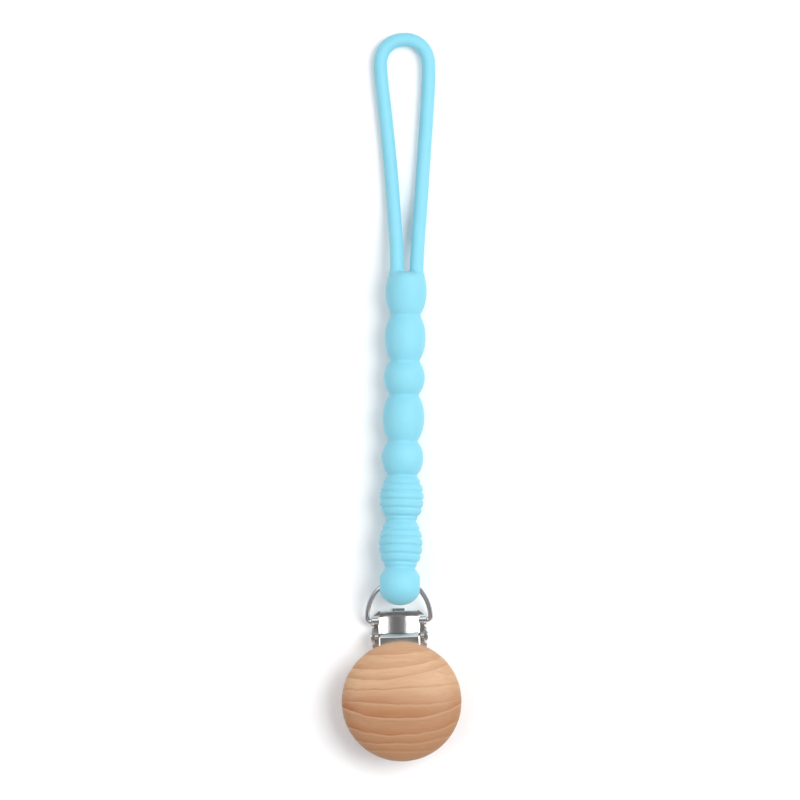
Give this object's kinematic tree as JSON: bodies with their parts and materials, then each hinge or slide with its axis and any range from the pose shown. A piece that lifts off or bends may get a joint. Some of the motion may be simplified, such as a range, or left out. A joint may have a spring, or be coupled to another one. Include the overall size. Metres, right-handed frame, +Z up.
{
  "type": "pacifier clip",
  "caption": "Pacifier clip: a sprung metal suspender clip under a round wooden disc, a D-ring, and a flexible silicone bead strap that ends in a cord loop.",
  "frame": {"origin": "on the underside of the clip's back plate, below the middle of the wooden disc", "axes": "+X right, +Y along the clip from the disc towards the cord loop, +Z up out of the surface that the clip lies on"},
  "size_m": [0.035, 0.2132, 0.0172],
  "materials": {
    "silicone": "matte, light blue silicone",
    "plated_steel": "polished nickel plate",
    "beech_wood": "turned and sanded beech, oiled",
    "grip_plastic": "moulded, milky white"
  },
  "bodies": {
    "clip_base": {"back_plate": "plated_steel", "lower_grip_pad": "grip_plastic", "hinge_pin": "plated_steel"},
    "jaw": {"jaw_plate": "plated_steel", "upper_grip_pad": "grip_plastic"},
    "lever": {"lever_plate": "plated_steel", "wood_disc": "beech_wood", "disc_tacks": "plated_steel"},
    "ring": {"d_ring": "plated_steel"},
    "strap_8": {"strap_bead_8": "silicone"},
    "strap_7": {"strap_bead_7": "silicone"},
    "strap_6": {"strap_bead_6": "silicone"},
    "strap_5": {"strap_bead_5": "silicone"},
    "strap_4": {"strap_bead_4": "silicone"},
    "strap_3": {"strap_bead_3": "silicone"},
    "strap_2": {"strap_bead_2": "silicone"},
    "strap_1": {"strap_bead_1": "silicone", "strap_loop": "silicone"}
  },
  "joints": [
    {"name": "lever_hinge", "type": "hinge", "parent": "clip_base", "child": "lever", "pos_m": [0, 0.01875, 0.00545], "axis": [-1, 0, 0], "range_deg": [0, 80]},
    {"name": "jaw_hinge", "type": "hinge", "parent": "clip_base", "child": "jaw", "pos_m": [0, 0.0233, 0.00235], "axis": [-1, 0, 0], "range_deg": [0, 10]},
    {"name": "ring_swing", "type": "hinge", "parent": "clip_base", "child": "ring", "pos_m": [0, 0.0233, 0.00235], "axis": [-1, 0, 0], "range_deg": [-60, 120]},
    {"name": "end_bead_swivel", "type": "hinge", "parent": "ring", "child": "strap_8", "pos_m": [0.0006, 0.0339, 0.00906], "axis": [0.9985, -0.055, 0], "range_deg": [-35, 35]},
    {"name": "neck_7_up_down", "type": "hinge", "parent": "strap_8", "child": "strap_7", "pos_m": [0.00087, 0.03889, 0.00844], "axis": [0.9985, -0.055, 0], "range_deg": [-20, 20], "stiffness_Nm_per_rad": 0.06},
    {"name": "neck_6_sideways", "type": "hinge", "parent": "strap_7", "child": "strap_6", "pos_m": [0.00163, 0.05267, 0.00699], "axis": [0, 0, 1], "range_deg": [-20, 20], "stiffness_Nm_per_rad": 0.06},
    {"name": "neck_5_up_down", "type": "hinge", "parent": "strap_6", "child": "strap_5", "pos_m": [0.00237, 0.06598, 0.0062], "axis": [-0.9985, 0.055, 0], "range_deg": [-20, 20], "stiffness_Nm_per_rad": 0.06},
    {"name": "neck_4_sideways", "type": "hinge", "parent": "strap_5", "child": "strap_4", "pos_m": [0.00292, 0.07597, 0.0062], "axis": [0, 0, -1], "range_deg": [-20, 20], "stiffness_Nm_per_rad": 0.06},
    {"name": "neck_3_up_down", "type": "hinge", "parent": "strap_4", "child": "strap_3", "pos_m": [0.00366, 0.08955, 0.0062], "axis": [0.9985, -0.055, 0], "range_deg": [-20, 20], "stiffness_Nm_per_rad": 0.06},
    {"name": "neck_2_sideways", "type": "hinge", "parent": "strap_3", "child": "strap_2", "pos_m": [0.00421, 0.09943, 0.0062], "axis": [0, 0, 1], "range_deg": [-20, 20], "stiffness_Nm_per_rad": 0.06},
    {"name": "neck_1_up_down", "type": "hinge", "parent": "strap_2", "child": "strap_1", "pos_m": [0.00494, 0.11281, 0.0062], "axis": [-0.9985, 0.055, 0], "range_deg": [-20, 20], "stiffness_Nm_per_rad": 0.06}
  ],
  "couplings": [
    {"joint": "jaw_hinge", "follows": "lever_hinge", "ratio": 0.125}
  ]
}
